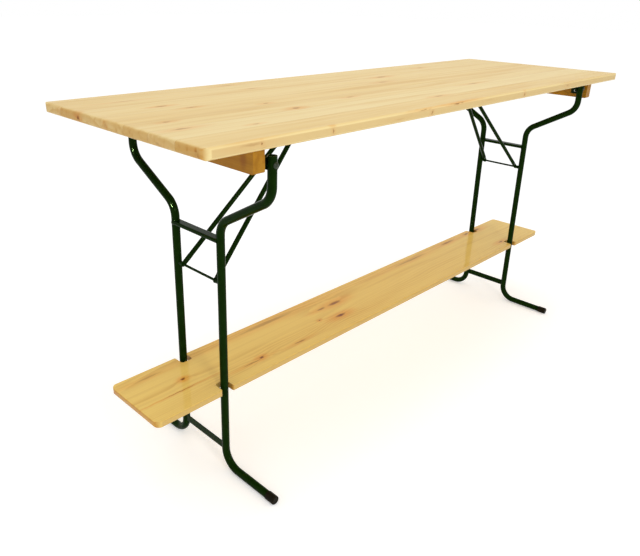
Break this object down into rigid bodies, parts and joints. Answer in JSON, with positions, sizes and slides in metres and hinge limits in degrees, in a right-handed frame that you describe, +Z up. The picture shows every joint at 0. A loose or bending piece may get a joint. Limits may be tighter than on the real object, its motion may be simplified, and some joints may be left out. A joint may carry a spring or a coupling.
{
  "type": "folding bar table",
  "caption": "Folding bar table with a pine top, green bent-tube leg frames, spring-catch braces and a loose shelf.",
  "frame": {"origin": "on the floor under the middle of the tabletop", "axes": "+X along the table to the right, +Y to the back, +Z up; the picture looks from the left front"},
  "size_m": [2.262, 0.743, 1.112],
  "materials": {
    "top_pine": "clear lacquered pine, satin",
    "shelf_pine": "clear lacquered pine, satin",
    "batten_wood": "orange-brown lacquered softwood, satin",
    "green_enamel": "dark green glossy enamel",
    "bracket_steel": "dark painted steel, satin",
    "zinc_steel": "bright zinc plate",
    "cap_plastic": "dark brown plastic",
    "strip_plastic": "black plastic"
  },
  "bodies": {
    "tabletop": {"top_board_1": "top_pine", "top_board_2": "top_pine", "top_board_3": "top_pine", "top_board_4": "top_pine", "top_board_5": "top_pine", "top_board_6": "top_pine", "top_board_7": "top_pine", "batten_left": "batten_wood", "batten_right": "batten_wood", "batten_screws": "zinc_steel", "bracket_left_front": "bracket_steel", "bracket_left_back": "bracket_steel", "bracket_right_front": "bracket_steel", "bracket_right_back": "bracket_steel", "bracket_screws": "zinc_steel", "pivot_bolts_left": "zinc_steel", "pivot_bolts_right": "zinc_steel", "pivot_nuts": "zinc_steel", "clip_block_left": "batten_wood", "clip_block_right": "batten_wood", "clip_left": "bracket_steel", "clip_right": "bracket_steel", "clip_screws": "zinc_steel"},
    "frame_left": {"leg_left_front": "green_enamel", "leg_left_back": "green_enamel", "upper_bar_left": "green_enamel", "shelf_bar_left": "green_enamel", "lower_bar_left": "green_enamel", "brace_rod_left": "green_enamel", "rod_spacers_left": "green_enamel", "foot_caps_left": "cap_plastic"},
    "frame_right": {"leg_right_front": "green_enamel", "leg_right_back": "green_enamel", "upper_bar_right": "green_enamel", "shelf_bar_right": "green_enamel", "lower_bar_right": "green_enamel", "brace_rod_right": "green_enamel", "rod_spacers_right": "green_enamel", "foot_caps_right": "cap_plastic", "bar_strip_right": "strip_plastic"},
    "brace_left": {"brace_tube_left_front": "green_enamel", "brace_tube_left_back": "green_enamel", "catch_pin_left": "zinc_steel"},
    "brace_right": {"brace_tube_right_front": "green_enamel", "brace_tube_right_back": "green_enamel", "catch_pin_right": "zinc_steel"},
    "shelf_rest": {"bar_strip_left": "strip_plastic"},
    "shelf": {"shelf_board": "shelf_pine"}
  },
  "joints": [
    {"name": "fold_left", "type": "hinge", "parent": "tabletop", "child": "frame_left", "pos_m": [-0.866, 0, 1.03], "axis": [0, -1, 0], "range_deg": [0, 91.09]},
    {"name": "fold_right", "type": "hinge", "parent": "tabletop", "child": "frame_right", "pos_m": [0.866, 0, 1.062], "axis": [0, 1, 0], "range_deg": [0, 91.09]},
    {"name": "brace_swing_left", "type": "hinge", "parent": "frame_left", "child": "brace_left", "pos_m": [-0.87327, 0, 0.64807], "axis": [0, -1, 0], "range_deg": [-134.55, 0]},
    {"name": "brace_swing_right", "type": "hinge", "parent": "frame_right", "child": "brace_right", "pos_m": [0.87327, 0, 0.68007], "axis": [0, 1, 0], "range_deg": [-134.55, 0]},
    {"name": "shelf_out_1", "type": "slide", "parent": "tabletop", "child": "shelf_rest", "axis": [0, -1, 0], "range_m": [0, 3]},
    {"name": "shelf_out_2", "type": "slide", "parent": "shelf_rest", "child": "shelf", "axis": [0, -1, 0], "range_m": [0, 3]}
  ],
  "couplings": [
    {"joint": "brace_swing_left", "follows": "fold_left", "ratio": -1.4771},
    {"joint": "brace_swing_right", "follows": "fold_right", "ratio": -1.4771},
    {"joint": "shelf_out_1", "follows": "fold_left", "m_per_rad": 1.887},
    {"joint": "shelf_out_2", "follows": "fold_right", "m_per_rad": 1.887}
  ]
}
